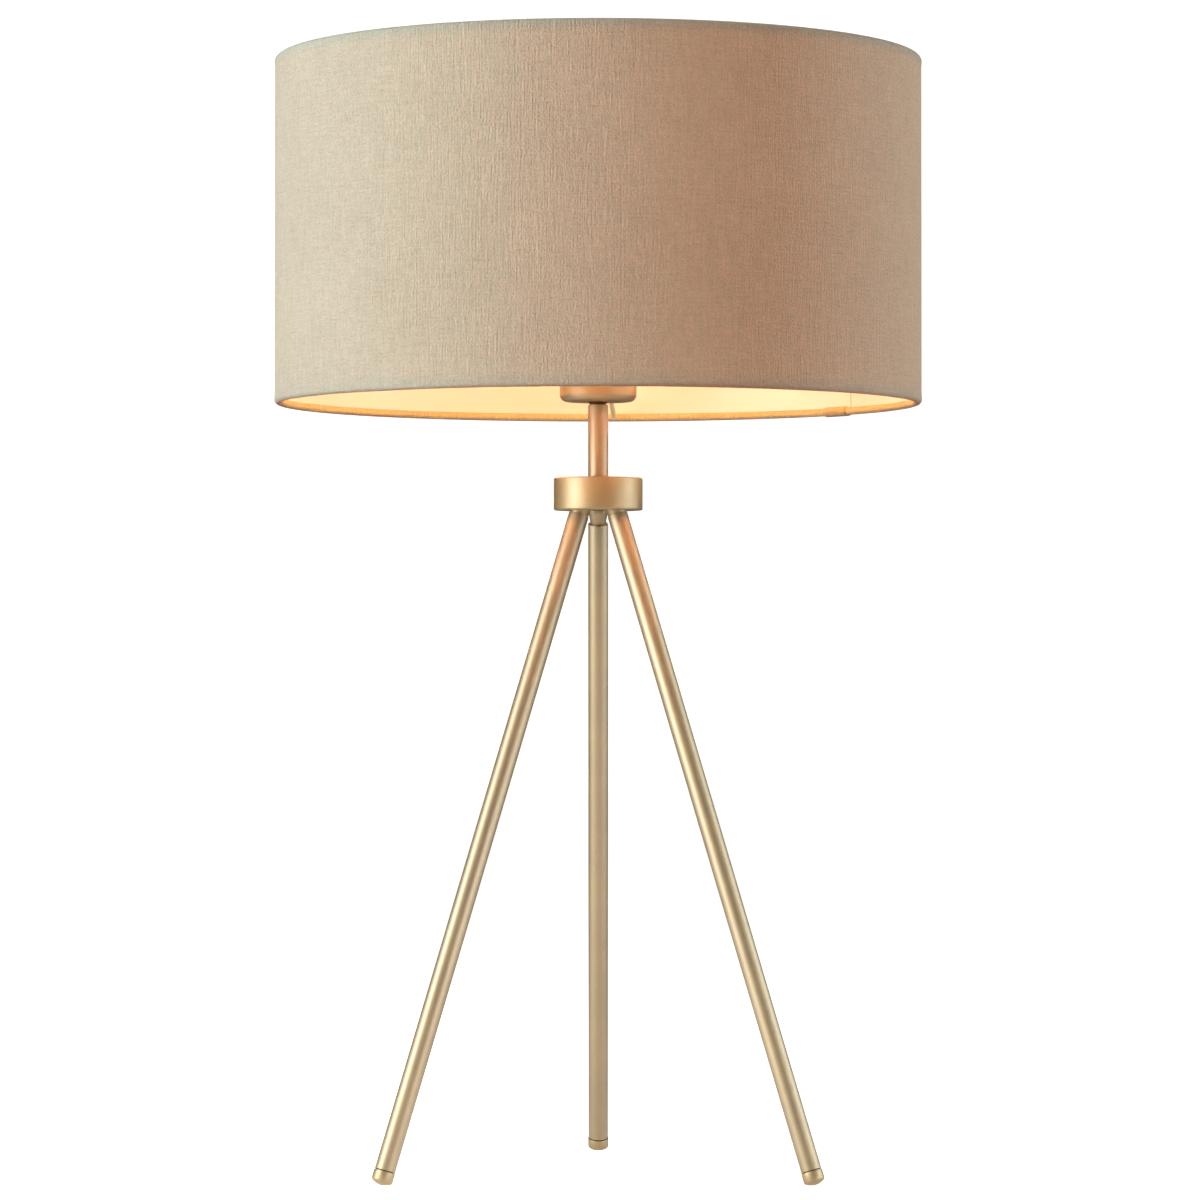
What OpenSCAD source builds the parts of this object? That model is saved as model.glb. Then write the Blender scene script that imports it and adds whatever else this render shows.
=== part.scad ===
// Tripod table lamp with a drum shade. Millimetres, +Z up, the floor at Z = 0.
// The lamp's upright axis is the Z axis. The rear leg stands at +Y, the side legs at the front.

/* [Tripod] */
// Height of the hub's underside above the floor
hub_underside_z = 327.2; // [300:0.1:360]
// Tilt of each leg from the upright, in degrees
leg_tilt = 18.7; // [16:0.1:20]
// Radius of the circle on which the leg axes leave the hub
leg_top_radius = 10.2; // [10:0.1:11.5]
// Outer diameter of a leg tube
leg_d = 10; // [9.6:0.1:10.6]
// Wall of a leg tube
leg_wall = 1; // [0.8:0.1:1.4]
// Bare nose between the hub and the tube on the two side legs
side_nose_bare = 2.6; // [2.2:0.1:4]
// Bare nose between the hub and the tube on the rear leg
rear_nose_bare = 6.6; // [5:0.1:7]

/* [Leg noses] */
// Diameter of a nose where it enters the hub
nose_d = 10.2; // [9.8:0.1:10.4]
// Half angle of the nose's taper, in degrees
nose_half_angle = 12; // [8:0.5:13]
// Diameter of the threaded stud that holds a nose in the hub
stud_d = 6; // [5:0.1:6.2]
// Length of that stud beyond its seat
stud_len = 5; // [4:0.1:5.5]
// Length of the spigots pressed into the tubes
spigot_len = 14; // [10:0.5:20]

/* [Feet] */
// Diameter of a foot cap
cap_d = 10.4; // [10.2:0.1:12]
// Length of a cap's straight side
cap_len = 5.2; // [4:0.1:8]
// Height of a cap's domed end
cap_dome_h = 1.9; // [1.5:0.1:2.6]
// Depth of the flat that each dome stands on
foot_flat = 0.3; // [0.2:0.05:0.5]
// Edge chamfer of the caps and tube ends, which draws the seam line
seam_chamfer = 0.2; // [0.1:0.05:0.3]

/* [Hub and stem] */
// Diameter of the hub
hub_d = 44; // [40:0.5:50]
// Height of the hub
hub_h = 16; // [15:0.1:20]
// Chamfer of the hub's rims
hub_edge = 0.4; // [0.2:0.1:1]
// Outer diameter of the stem
stem_d = 10; // [9.6:0.1:11]
// Wall of the stem
stem_wall = 1; // [0.8:0.1:1.2]
// Length of the stem between the hub and the neck spacer
stem_rise = 36.2; // [30:0.1:60]
// Depth to which the stem is screwed into the hub
stem_seat = 8; // [6:0.1:8.5]
// Diameter of the wire passage through the hub
passage_d = 7.2; // [6.6:0.1:7.4]
// Bore of the cord grommet under the hub
grommet_bore = 5.6; // [5:0.1:6]
// Diameter of the grommet's flange
grommet_flange_d = 8.4; // [7.8:0.1:8.6]
// Thickness of that flange
grommet_flange_t = 0.8; // [0.6:0.1:1.2]
// Length of the grommet above its flange
grommet_len = 4; // [3:0.1:6]

/* [Lampholder] */
// Diameter of the neck spacer under the cup
spacer_d = 9.2; // [9:0.1:10]
// Height of the neck spacer
spacer_h = 1.5; // [0.8:0.1:3]
// Diameter of the hollow threaded nipple
nipple_d = 8; // [7.6:0.1:8]
// Wall of the nipple
nipple_wall = 1.1; // [0.9:0.1:1.4]
// Length of the nipple inside the stem
nipple_down = 12; // [8:0.5:20]
// Length of the nipple inside the terminal block
nipple_up = 6; // [4:0.1:8]
// Diameter of the holder cup
cup_d = 38; // [37:0.5:42]
// Height of the holder cup
cup_h = 22; // [20:0.1:26]
// Wall of the holder cup
cup_wall = 0.8; // [0.6:0.1:1.2]
// Radius of the cup's lower corner
cup_corner = 3.5; // [2.5:0.1:4.5]
// Diameter of the toothed washer in the cup
washer_d = 15; // [14:0.5:18]
// Thickness of that washer
washer_t = 0.6; // [0.4:0.1:1]
// Width across the locknut's flats
nut_af = 13; // [12:0.5:14]
// Height of the locknut
nut_h = 3; // [2.5:0.1:4]
// Diameter of the terminal block
block_d = 30; // [29.6:0.1:31]
// Height of the terminal block
block_h = 14.6; // [13:0.1:16]
// Bore through the terminal block for the wires
wire_bore = 6; // [5:0.1:6.5]
// Diameter of a terminal screw
terminal_d = 3.2; // [3:0.1:3.6]
// Length of a terminal screw
terminal_len = 6; // [5:0.1:7]
// Outer diameter of the sleeve's thread, which carries the shade rings
sleeve_d = 39.5; // [38.6:0.1:42]
// Height of the sleeve above the cup
sleeve_h = 29; // [26:0.1:32]
// Wall of the sleeve's outer shell
sleeve_wall = 1.8; // [1.4:0.1:2.2]
// Thickness of the sleeve's top rim, which joins its shell to its barrel
sleeve_rim = 2; // [1.5:0.1:3]
// Radial room between the sleeve's barrel and the bulb cap
barrel_room = 0.35; // [0.2:0.05:0.4]
// Wall of the sleeve's barrel
barrel_wall = 1.7; // [1.4:0.1:1.8]
// Length of the sleeve inside the cup
sleeve_inset = 6; // [4:0.1:8]
// Thickness of the contact strips
contact_t = 0.4; // [0.3:0.05:0.5]
// Width of the contact strips
contact_w = 5; // [4:0.1:5.4]
// Length of the centre contact's flat under the bulb
contact_flat = 8; // [6:0.1:8.5]
// Run of the slope beside that flat
contact_ramp = 3; // [2:0.1:4]
// Length of the centre contact's foot on the terminal block
contact_foot = 4; // [3:0.1:4.4]
// Height of the side contacts
side_contact_h = 12; // [10:0.1:16]
// Height at which the bulb's contact rests above the terminal block
bulb_rise = 3.8; // [3:0.1:5]
// Depth of the barrel's widened mouth below the rim of the bulb's cap
mouth_depth = 0.5; // [0.2:0.1:2]

/* [Shade rings] */
// Outer diameter of the two rings that clamp the shade
ring_d = 56; // [50:0.5:58]
// Height of the lower ring
lower_ring_h = 5; // [4:0.1:6]
// Height of the upper ring
upper_ring_h = 6.5; // [5:0.1:8]
// Height of the lower ring above the cup
ring_lift = 1; // [0.6:0.1:3]
// Number of grip ribs on a ring
ring_ribs = 18; // [12:1:24]
// Diameter of a grip rib
rib_d = 2; // [1.6:0.1:2.4]

/* [Shade] */
// Outer diameter of the drum shade
shade_d = 320; // [280:1:360]
// Height of the drum shade
shade_h = 171; // [160:0.5:200]
// Height of the shade's bottom edge below the cup's underside
shade_drop = 1.6; // [0:0.1:8]
// Thickness of the fabric
fabric_t = 0.5; // [0.4:0.05:0.8]
// Thickness of the stiff liner behind the fabric
liner_t = 0.4; // [0.3:0.05:0.6]
// Diameter of the wire rings in the hems
wire_d = 3; // [2.6:0.1:3.6]
// Width of the fabric's overlap at the seam
seam_w = 15; // [10:0.5:25]
// Where the seam stands, in degrees from +X towards the rear
seam_at = 39; // [10:1:80]
// Where the rear spider arm stands, in degrees from +X towards the rear
spider_at = 87; // [60:1:120]
// Diameter of the spider's arms
arm_d = 3; // [2.6:0.1:3.6]
// Outer diameter of the spider's centre ring
centre_ring_d = 62; // [60:0.5:70]
// Hole of the spider's centre ring
centre_hole_d = 42; // [42:0.1:45]
// Thickness of the spider's centre ring
centre_ring_t = 1.5; // [1.2:0.1:2.5]

/* [Bulb] */
// Greatest diameter of the bulb
bulb_d = 60; // [50:1:62]
// Length of the bulb from its contact to its crown
bulb_len = 105; // [100:1:115]
// Diameter of the screw cap
bulb_cap_d = 26; // [25.6:0.1:26.2]
// Height of the screw cap's shell
bulb_cap_h = 23; // [21:0.1:24]
// Diameter of the centre contact on the bulb
bulb_tip_d = 9; // [8:0.1:10]
// Height of that contact
bulb_tip_h = 1.2; // [1:0.1:1.6]
// Height of the insulator between the contact and the cap
insulator_h = 3; // [2.4:0.1:4]
// Wall of the bulb's glass
glass_t = 0.8; // [0.6:0.1:1.2]
// Diameter of the glass neck inside the cap, whose wall stands for the depth of its thread
bulb_neck_d = 23.6; // [22:0.1:24.4]
// Diameter of the glass just above the cap
bulb_shoulder_d = 27.2; // [26.4:0.1:28]
// Height of that straight shoulder
bulb_shoulder_h = 2; // [1:0.1:3]
// Length of the glass neck inside the cap
neck_in_cap = 6; // [4:0.5:10]

/* [Hidden] */
$fn = 96;
fit_gap = 0.05; // radial room between pieces that are pressed or screwed together
turn_gap = 0.1; // room between flat faces that turn on each other
slide_gap = 0.2; // radial room of the upper ring on the sleeve
over = 1; // how far a cutter runs past what it cuts
nose_sink = 0.1; // least depth of a nose's shoulder in the hub
stud_hole_room = 0.5; // room beyond the end of a stud
spigot_lead = 1; // length of a nose's narrow lead into its tube
leg_angles = [90, 210, 330]; // rear, left, right

// Tripod
hub_top_z = hub_underside_z + hub_h;
dome_r = (pow(cap_d / 2, 2) + pow(cap_dome_h, 2)) / (2 * cap_dome_h);
dome_at = (hub_underside_z - dome_r + foot_flat) / cos(leg_tilt); // dome centre, along the leg
seam_s = dome_at + dome_r - cap_dome_h - cap_len; // seam of tube and cap, along the leg
nose_seat = nose_d / 2 * tan(leg_tilt) + nose_sink;
spigot_d = leg_d - 2 * leg_wall - 2 * fit_gap;

// Stem, nipple and cup
stem_top_z = hub_top_z + stem_rise;
cup_z = stem_top_z + spacer_h;
cup_top_z = cup_z + cup_h;
washer_z = cup_z + cup_wall;
nut_z = washer_z + washer_t;
block_z = nut_z + nut_h;
block_top_z = block_z + block_h;
nipple_bottom_z = stem_top_z - nipple_down;
nipple_top_z = block_z + nipple_up;
nipple_hole_d = nipple_d + 2 * fit_gap;
terminal_z = block_z + block_h / 2;

// Sleeve, contacts and shade rings
sleeve_bottom_z = cup_top_z - sleeve_inset;
sleeve_top_z = cup_top_z + sleeve_h;
sleeve_spigot_d = cup_d - 2 * cup_wall - 2 * fit_gap; // the part inside the cup
sleeve_hollow_d = sleeve_spigot_d - 2 * sleeve_wall;
barrel_bore = bulb_cap_d + 2 * barrel_room;
barrel_d = barrel_bore + 2 * barrel_wall;
barrel_bottom_z = block_top_z + fit_gap;
barrel_mouth_d = bulb_shoulder_d + 2 * barrel_room;
bulb_z = block_top_z + bulb_rise; // underside of the bulb's contact
tongue_top_z = bulb_z - turn_gap;
tongue_flat_r = contact_flat / 2;
tongue_rise_r = tongue_flat_r + contact_ramp;
tongue_foot_r = tongue_rise_r + contact_foot;
side_contact_r = bulb_cap_d / 2 + turn_gap;
contact_room = 0.3; // room round a side contact in its slot
lower_ring_z = cup_top_z + ring_lift;
centre_ring_z = lower_ring_z + lower_ring_h + turn_gap;
upper_ring_z = centre_ring_z + centre_ring_t + turn_gap;

// Shade
shade_z = cup_z - shade_drop;
shade_top_z = shade_z + shade_h;
hem_r = wire_d / 2 + fit_gap + fabric_t; // outer radius of the rolled hem
wire_ring_r = shade_d / 2 - hem_r; // radius of the circle that a wire ring follows
bottom_wire_z = shade_z + hem_r;
top_wire_z = shade_top_z - hem_r;
liner_r = shade_d / 2 - fabric_t - fit_gap;
seam_deg = seam_w / (PI * shade_d) * 360;
arm_from = [centre_ring_d / 2, centre_ring_z + centre_ring_t / 2];
arm_to = [wire_ring_r, bottom_wire_z];
arm_run = arm_to - arm_from;
arm_slope = atan2(arm_run[1], arm_run[0]);
arm_room = 0.3; // room around an arm where it passes the hem
arm_bite = wire_d / 4; // how far an arm's end stops short of the wire ring's centre line
arm_angles = [spider_at, spider_at + 120, spider_at + 240]; // rear, left, right

// Bulb
insulator_z = bulb_z + bulb_tip_h + fit_gap;
bulb_cap_z = insulator_z + insulator_h;
bulb_cap_top_z = bulb_cap_z + bulb_cap_h;
bulb_cap_wall = bulb_cap_d / 2 - bulb_neck_d / 2 - fit_gap;
bulb_centre_z = bulb_z + bulb_len - bulb_d / 2;
globe_r = bulb_d / 2;
shoulder_r = bulb_shoulder_d / 2;
flare_z = bulb_cap_top_z + bulb_shoulder_h;
flare_rise = bulb_centre_z - flare_z;
// Radius of the hollow curve that leaves the shoulder upright and meets the globe at a tangent
flare_r = (pow(shoulder_r, 2) + pow(flare_rise, 2) - pow(globe_r, 2)) / (2 * (globe_r - shoulder_r));
flare_x = shoulder_r + flare_r;

// ---- helpers ----

// A plain tube standing on z
module pipe(d, bore, z, h) {
    translate([0, 0, z]) difference() {
        cylinder(d = d, h = h);
        translate([0, 0, -over]) cylinder(d = bore, h = h + 2 * over);
    }
}

// Puts its children on a leg: local +Z runs down the leg from the hub's underside
module on_leg(angle) {
    rotate([0, 0, angle])
        translate([leg_top_radius, 0, hub_underside_z])
            rotate([0, 180 - leg_tilt, 0]) children();
}

// Outline of a cup's half section with a rounded lower corner
module cup_outline(r, h, corner) {
    square([r - corner, h]);
    translate([0, corner]) square([r, h - corner]);
    translate([r - corner, corner]) circle(r = corner);
}

// ---- tripod ----

module leg_tube(angle, bare) {
    bore = leg_d - 2 * leg_wall;
    long = seam_s - bare;
    color("#c3a883") on_leg(angle) difference() {
        union() {
            translate([0, 0, bare]) cylinder(d = leg_d, h = long - seam_chamfer);
            translate([0, 0, seam_s - seam_chamfer])
                cylinder(d1 = leg_d, d2 = leg_d - 2 * seam_chamfer, h = seam_chamfer);
        }
        translate([0, 0, bare - over]) cylinder(d = bore, h = long + 2 * over);
    }
}

module leg_nose(angle, bare) {
    end_d = nose_d - 2 * bare * tan(nose_half_angle);
    mouth_d = min(end_d, spigot_d);
    color("#b79c76") on_leg(angle) {
        translate([0, 0, -nose_seat - stud_len]) cylinder(d = stud_d, h = stud_len);
        translate([0, 0, -nose_seat]) cylinder(d = nose_d, h = nose_seat);
        cylinder(d1 = nose_d, d2 = end_d, h = bare);
        translate([0, 0, bare]) cylinder(d = mouth_d, h = spigot_lead);
        translate([0, 0, bare + spigot_lead]) cylinder(d = spigot_d, h = spigot_len - spigot_lead);
    }
}

module foot_cap(angle) {
    color("#b89c78") difference() {
        on_leg(angle) {
            translate([0, 0, seam_s - spigot_len]) cylinder(d = spigot_d, h = spigot_len);
            translate([0, 0, seam_s])
                cylinder(d1 = cap_d - 2 * seam_chamfer, d2 = cap_d, h = seam_chamfer);
            translate([0, 0, seam_s + seam_chamfer]) cylinder(d = cap_d, h = cap_len - seam_chamfer);
            intersection() {
                translate([0, 0, dome_at]) sphere(r = dome_r);
                translate([0, 0, seam_s + cap_len]) cylinder(d = cap_d, h = cap_dome_h + over);
            }
        }
        rotate([0, 0, angle]) translate([0, -hub_d, -hub_d]) cube([hub_underside_z, 2 * hub_d, hub_d]);
    }
}

module hub() {
    color("#c0a27a") difference() {
        translate([0, 0, hub_underside_z]) {
            cylinder(d1 = hub_d - 2 * hub_edge, d2 = hub_d, h = hub_edge);
            translate([0, 0, hub_edge]) cylinder(d = hub_d, h = hub_h - 2 * hub_edge);
            translate([0, 0, hub_h - hub_edge])
                cylinder(d1 = hub_d, d2 = hub_d - 2 * hub_edge, h = hub_edge);
        }
        translate([0, 0, hub_top_z - stem_seat]) cylinder(d = stem_d + 2 * fit_gap, h = stem_seat + over);
        translate([0, 0, hub_underside_z - over]) cylinder(d = passage_d, h = hub_h);
        translate([0, 0, hub_underside_z - over])
            cylinder(d = grommet_flange_d + 2 * fit_gap, h = grommet_flange_t + over);
        for (angle = leg_angles) on_leg(angle) {
            translate([0, 0, -nose_seat]) cylinder(d = nose_d + 2 * fit_gap, h = nose_seat + hub_h);
            translate([0, 0, -nose_seat - stud_len - stud_hole_room])
                cylinder(d = stud_d + 2 * fit_gap, h = stud_len + 2 * stud_hole_room);
        }
    }
}

module cord_grommet() {
    color("#2b2b2b") difference() {
        union() {
            translate([0, 0, hub_underside_z]) cylinder(d = grommet_flange_d, h = grommet_flange_t);
            translate([0, 0, hub_underside_z])
                cylinder(d = passage_d - 2 * fit_gap, h = grommet_flange_t + grommet_len);
        }
        translate([0, 0, hub_underside_z - over])
            cylinder(d = grommet_bore, h = grommet_flange_t + grommet_len + 2 * over);
    }
}

// ---- stem and lampholder ----

module stem_tube() {
    color("#c3a883")
        pipe(stem_d, stem_d - 2 * stem_wall, hub_top_z - stem_seat, stem_rise + stem_seat);
}

module neck_spacer() {
    color("#a8895f") pipe(spacer_d, nipple_hole_d, stem_top_z, spacer_h);
}

module holder_nipple() {
    d = min(nipple_d, stem_d - 2 * stem_wall) - 2 * fit_gap;
    color("#b8b8b8")
        pipe(d, d - 2 * nipple_wall, nipple_bottom_z, nipple_top_z - nipple_bottom_z);
}

module holder_cup() {
    color("#c0a27a") translate([0, 0, cup_z]) difference() {
        rotate_extrude() cup_outline(cup_d / 2, cup_h, cup_corner);
        translate([0, 0, cup_wall])
            rotate_extrude() cup_outline(cup_d / 2 - cup_wall, cup_h, cup_corner - cup_wall);
        translate([0, 0, -over]) cylinder(d = nipple_hole_d, h = cup_wall + 2 * over);
    }
}

module toothed_washer() {
    color("#a9a9a9") pipe(washer_d, nipple_hole_d, washer_z, washer_t);
}

module locknut() {
    color("#c9b27a") translate([0, 0, nut_z]) difference() {
        cylinder(d = nut_af / cos(30), h = nut_h, $fn = 6);
        translate([0, 0, -over]) cylinder(d = nipple_hole_d, h = nut_h + 2 * over);
    }
}

module terminal_block() {
    color("#efece2") difference() {
        pipe(block_d, wire_bore, block_z, block_h);
        translate([0, 0, block_z - over]) cylinder(d = nipple_hole_d, h = nipple_up + over);
        for (side = [0, 180]) rotate([0, 0, side])
            translate([block_d / 2 - terminal_len, 0, terminal_z])
                rotate([0, 90, 0]) cylinder(d = terminal_d + 2 * fit_gap, h = terminal_len + over);
    }
}

module terminal_screws() {
    color("#c9a94e") for (side = [0, 180]) rotate([0, 0, side])
        translate([block_d / 2 - terminal_len, 0, terminal_z]) rotate([0, 90, 0]) difference() {
            cylinder(d = terminal_d, h = terminal_len);
            translate([-terminal_d, -terminal_d / 10, terminal_len - terminal_d / 4])
                cube([2 * terminal_d, terminal_d / 5, terminal_d]);
        }
}

// A bent strip under the bulb's contact, with its foot on the terminal block
module centre_contact() {
    rise = tongue_top_z - contact_t;
    color("#d0ab52") rotate([90, 0, 0]) translate([0, 0, -contact_w / 2])
        linear_extrude(height = contact_w) polygon([
            [tongue_foot_r, block_top_z], [tongue_foot_r, block_top_z + contact_t],
            [tongue_rise_r, block_top_z + contact_t], [tongue_flat_r, tongue_top_z],
            [-tongue_flat_r, tongue_top_z], [-tongue_flat_r, rise],
            [tongue_flat_r, rise], [tongue_rise_r, block_top_z]
        ]);
}

module side_contacts() {
    color("#d0ab52") for (side = [90, 270]) rotate([0, 0, side])
        translate([side_contact_r, -contact_w / 2, block_top_z])
            cube([contact_t, contact_w, side_contact_h]);
}

// A shell that screws over the cup's rim, with a barrel hanging in it from its top rim
module holder_sleeve() {
    bottom = sleeve_bottom_z - over;
    rim_z = sleeve_top_z - sleeve_rim;
    color("#f0eee8") difference() {
        union() {
            translate([0, 0, sleeve_bottom_z]) cylinder(d = sleeve_spigot_d, h = sleeve_inset + over);
            translate([0, 0, cup_top_z]) cylinder(d = sleeve_d, h = sleeve_h);
        }
        translate([0, 0, bottom]) cylinder(d = barrel_bore, h = sleeve_top_z - bottom + over);
        translate([0, 0, bulb_cap_top_z - mouth_depth])
            cylinder(d = barrel_mouth_d, h = sleeve_top_z - bulb_cap_top_z + mouth_depth + over);
        translate([0, 0, bottom]) cylinder(d = sleeve_hollow_d, h = barrel_bottom_z - bottom);
        pipe(sleeve_hollow_d, barrel_d, barrel_bottom_z - over, rim_z - barrel_bottom_z + over);
        for (side = [90, 270]) rotate([0, 0, side])
            translate([0, -contact_w / 2 - contact_room, bottom])
                cube([
                    side_contact_r + contact_t + contact_room,
                    contact_w + 2 * contact_room,
                    block_top_z + side_contact_h + contact_room - bottom
                ]);
    }
}

// A ring with grip ribs round its rim
module ribbed_ring(bore, z, h) {
    difference() {
        union() {
            translate([0, 0, z]) cylinder(d = ring_d - rib_d, h = h);
            for (i = [0:ring_ribs - 1]) rotate([0, 0, i * 360 / ring_ribs])
                translate([(ring_d - rib_d) / 2, 0, z]) cylinder(d = rib_d, h = h);
        }
        translate([0, 0, z - over]) cylinder(d = bore, h = h + 2 * over);
    }
}

module lower_shade_ring() {
    color("#e9e6de") ribbed_ring(sleeve_d + 2 * fit_gap, lower_ring_z, lower_ring_h);
}

module upper_shade_ring() {
    color("#f2f0ea") ribbed_ring(sleeve_d + 2 * slide_gap, upper_ring_z, upper_ring_h);
}

// ---- shade ----

// A torus round the lamp's axis
module hoop(r, z, tube_r) {
    translate([0, 0, z]) rotate_extrude() translate([r, 0]) circle(r = tube_r);
}

// A round rod along a spider arm's line, in the leg's upright plane
module arm_rod(d, from, to) {
    translate([arm_from[0], 0, arm_from[1]]) rotate([0, 90 - arm_slope, 0])
        translate([0, 0, from]) cylinder(d = d, h = to - from);
}

module shade_fabric() {
    notch = 3 * hem_r;
    color("#b9a486") difference() {
        rotate_extrude() {
            translate([shade_d / 2 - fabric_t, bottom_wire_z])
                square([fabric_t, top_wire_z - bottom_wire_z]);
            for (z = [bottom_wire_z, top_wire_z]) translate([wire_ring_r, z]) difference() {
                circle(r = hem_r);
                circle(r = hem_r - fabric_t);
            }
        }
        for (angle = arm_angles) rotate([0, 0, angle])
            arm_rod(arm_d + 2 * arm_room, norm(arm_run) - notch, norm(arm_run));
    }
}

// The lapped strip where the fabric's two ends meet
module shade_seam() {
    color("#b39d7e") rotate([0, 0, seam_at - seam_deg / 2]) rotate_extrude(angle = seam_deg)
        translate([shade_d / 2 + fit_gap, bottom_wire_z]) square([fabric_t, top_wire_z - bottom_wire_z]);
}

module shade_liner() {
    color("#f4ead2")
        pipe(2 * liner_r, 2 * (liner_r - liner_t), shade_z + 2 * hem_r, shade_h - 4 * hem_r);
}

module shade_top_ring() {
    color("#e8e8e8") hoop(wire_ring_r, top_wire_z, wire_d / 2);
}

module shade_bottom_ring() {
    color("#e8e8e8") hoop(wire_ring_r, bottom_wire_z, wire_d / 2);
}

module spider_arm(angle) {
    color("#e8e8e8") difference() {
        rotate([0, 0, angle]) arm_rod(arm_d, -arm_d, norm(arm_run) - arm_bite);
        translate([0, 0, centre_ring_z - arm_d])
            cylinder(d = centre_ring_d + 2 * fit_gap, h = centre_ring_t + 2 * arm_d);
        hoop(wire_ring_r, bottom_wire_z, wire_d / 2 + fit_gap);
    }
}

module spider_centre_ring() {
    color("#e8e8e8") pipe(centre_ring_d, centre_hole_d, centre_ring_z, centre_ring_t);
}

// ---- bulb ----

module bulb_tip() {
    color("#b0b0b0") translate([0, 0, bulb_z]) cylinder(d = bulb_tip_d, h = bulb_tip_h);
}

module bulb_insulator() {
    color("#222222") translate([0, 0, insulator_z])
        cylinder(d1 = bulb_tip_d, d2 = bulb_cap_d - 2 * bulb_cap_wall, h = insulator_h);
}

module bulb_cap() {
    color("#c8c8c8")
        pipe(bulb_cap_d, bulb_cap_d - 2 * bulb_cap_wall, bulb_cap_z, bulb_cap_h);
}

// Half section of the bulb's envelope above the cap, drawn in by inset
module bulb_section(inset) {
    touch_z = bulb_centre_z - flare_rise * (globe_r - inset) / (globe_r + flare_r);
    intersection() {
        translate([0, bulb_cap_top_z]) square([bulb_d, bulb_len]);
        translate([0, bulb_centre_z]) circle(r = globe_r - inset);
    }
    difference() {
        translate([0, flare_z]) square([flare_x, touch_z - flare_z]);
        translate([flare_x, flare_z]) circle(r = flare_r + inset);
    }
    translate([0, bulb_cap_top_z + inset]) square([shoulder_r - inset, bulb_shoulder_h - inset]);
}

module bulb_glass() {
    color("#fbf8f0") difference() {
        union() {
            rotate_extrude() bulb_section(0);
            translate([0, 0, bulb_cap_top_z - neck_in_cap])
                cylinder(d = bulb_neck_d, h = neck_in_cap + glass_t / 2);
        }
        rotate_extrude() bulb_section(glass_t);
        translate([0, 0, bulb_cap_top_z - neck_in_cap - over])
            cylinder(d = bulb_neck_d - 2 * glass_t, h = neck_in_cap + 2 * over);
    }
}

leg_tube(leg_angles[0], rear_nose_bare);  // leg_tube_rear
leg_tube(leg_angles[1], side_nose_bare);  // leg_tube_left
leg_tube(leg_angles[2], side_nose_bare);  // leg_tube_right
leg_nose(leg_angles[0], rear_nose_bare);  // leg_nose_rear
leg_nose(leg_angles[1], side_nose_bare);  // leg_nose_left
leg_nose(leg_angles[2], side_nose_bare);  // leg_nose_right
foot_cap(leg_angles[0]);  // foot_cap_rear
foot_cap(leg_angles[1]);  // foot_cap_left
foot_cap(leg_angles[2]);  // foot_cap_right
hub();
cord_grommet();
stem_tube();
neck_spacer();
holder_nipple();
holder_cup();
toothed_washer();
locknut();
terminal_block();
terminal_screws();
centre_contact();
side_contacts();
holder_sleeve();
lower_shade_ring();
upper_shade_ring();
shade_fabric();
shade_seam();
shade_liner();
shade_top_ring();
shade_bottom_ring();
spider_arm(arm_angles[0]);  // spider_arm_rear
spider_arm(arm_angles[1]);  // spider_arm_left
spider_arm(arm_angles[2]);  // spider_arm_right
spider_centre_ring();
bulb_tip();
bulb_insulator();
bulb_cap();
bulb_glass();
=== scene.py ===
"""A tripod table lamp with a linen drum shade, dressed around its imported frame."""
import math

import bpy
from mathutils import Matrix, Vector


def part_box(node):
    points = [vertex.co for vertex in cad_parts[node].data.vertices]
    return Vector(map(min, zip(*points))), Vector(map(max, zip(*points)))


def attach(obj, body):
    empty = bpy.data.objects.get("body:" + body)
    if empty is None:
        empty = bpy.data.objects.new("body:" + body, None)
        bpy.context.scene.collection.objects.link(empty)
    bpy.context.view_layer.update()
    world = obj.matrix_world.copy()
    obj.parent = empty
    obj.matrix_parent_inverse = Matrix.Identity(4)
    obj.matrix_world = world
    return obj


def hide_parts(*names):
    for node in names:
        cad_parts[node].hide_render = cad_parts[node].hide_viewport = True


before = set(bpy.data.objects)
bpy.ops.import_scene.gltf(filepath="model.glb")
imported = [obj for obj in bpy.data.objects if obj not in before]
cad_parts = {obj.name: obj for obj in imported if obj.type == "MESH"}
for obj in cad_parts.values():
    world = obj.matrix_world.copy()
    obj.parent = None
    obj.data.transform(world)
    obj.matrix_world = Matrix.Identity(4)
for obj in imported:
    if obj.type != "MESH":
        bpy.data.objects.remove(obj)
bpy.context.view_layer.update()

MM = 0.001
PER_MM = 1000  # from metres to millimetres
ORIGIN = (0, 0, 0)

# ---- camera: a little below the lamp's middle, level but for a very slight look up ----

PHOTO_PX = 1200
CAMERA_SIDE = 0.9 * MM  # to the right of the lamp's axis
CAMERA_AWAY = 2.45
CAMERA_UP = 0.2441
CAMERA_PITCH = 0.0158  # radians, upwards
FOCAL_PX = 4953.6  # in pixels of the photograph
SENSOR = 36.0

rest_camera = bpy.data.cameras.new("camera")
rest_camera.sensor_width = SENSOR
rest_camera.lens = SENSOR * FOCAL_PX / PHOTO_PX
camera = bpy.data.objects.new("camera", rest_camera)
bpy.context.scene.collection.objects.link(camera)
camera.location = (CAMERA_SIDE, -CAMERA_AWAY, CAMERA_UP)
camera.rotation_euler = (math.pi / 2 + CAMERA_PITCH, 0, 0)
bpy.context.scene.camera = camera
bpy.context.scene.view_settings.view_transform = "Standard"

# ---- sizes: heights and radii read from the frame, the rest in metres ----

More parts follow.
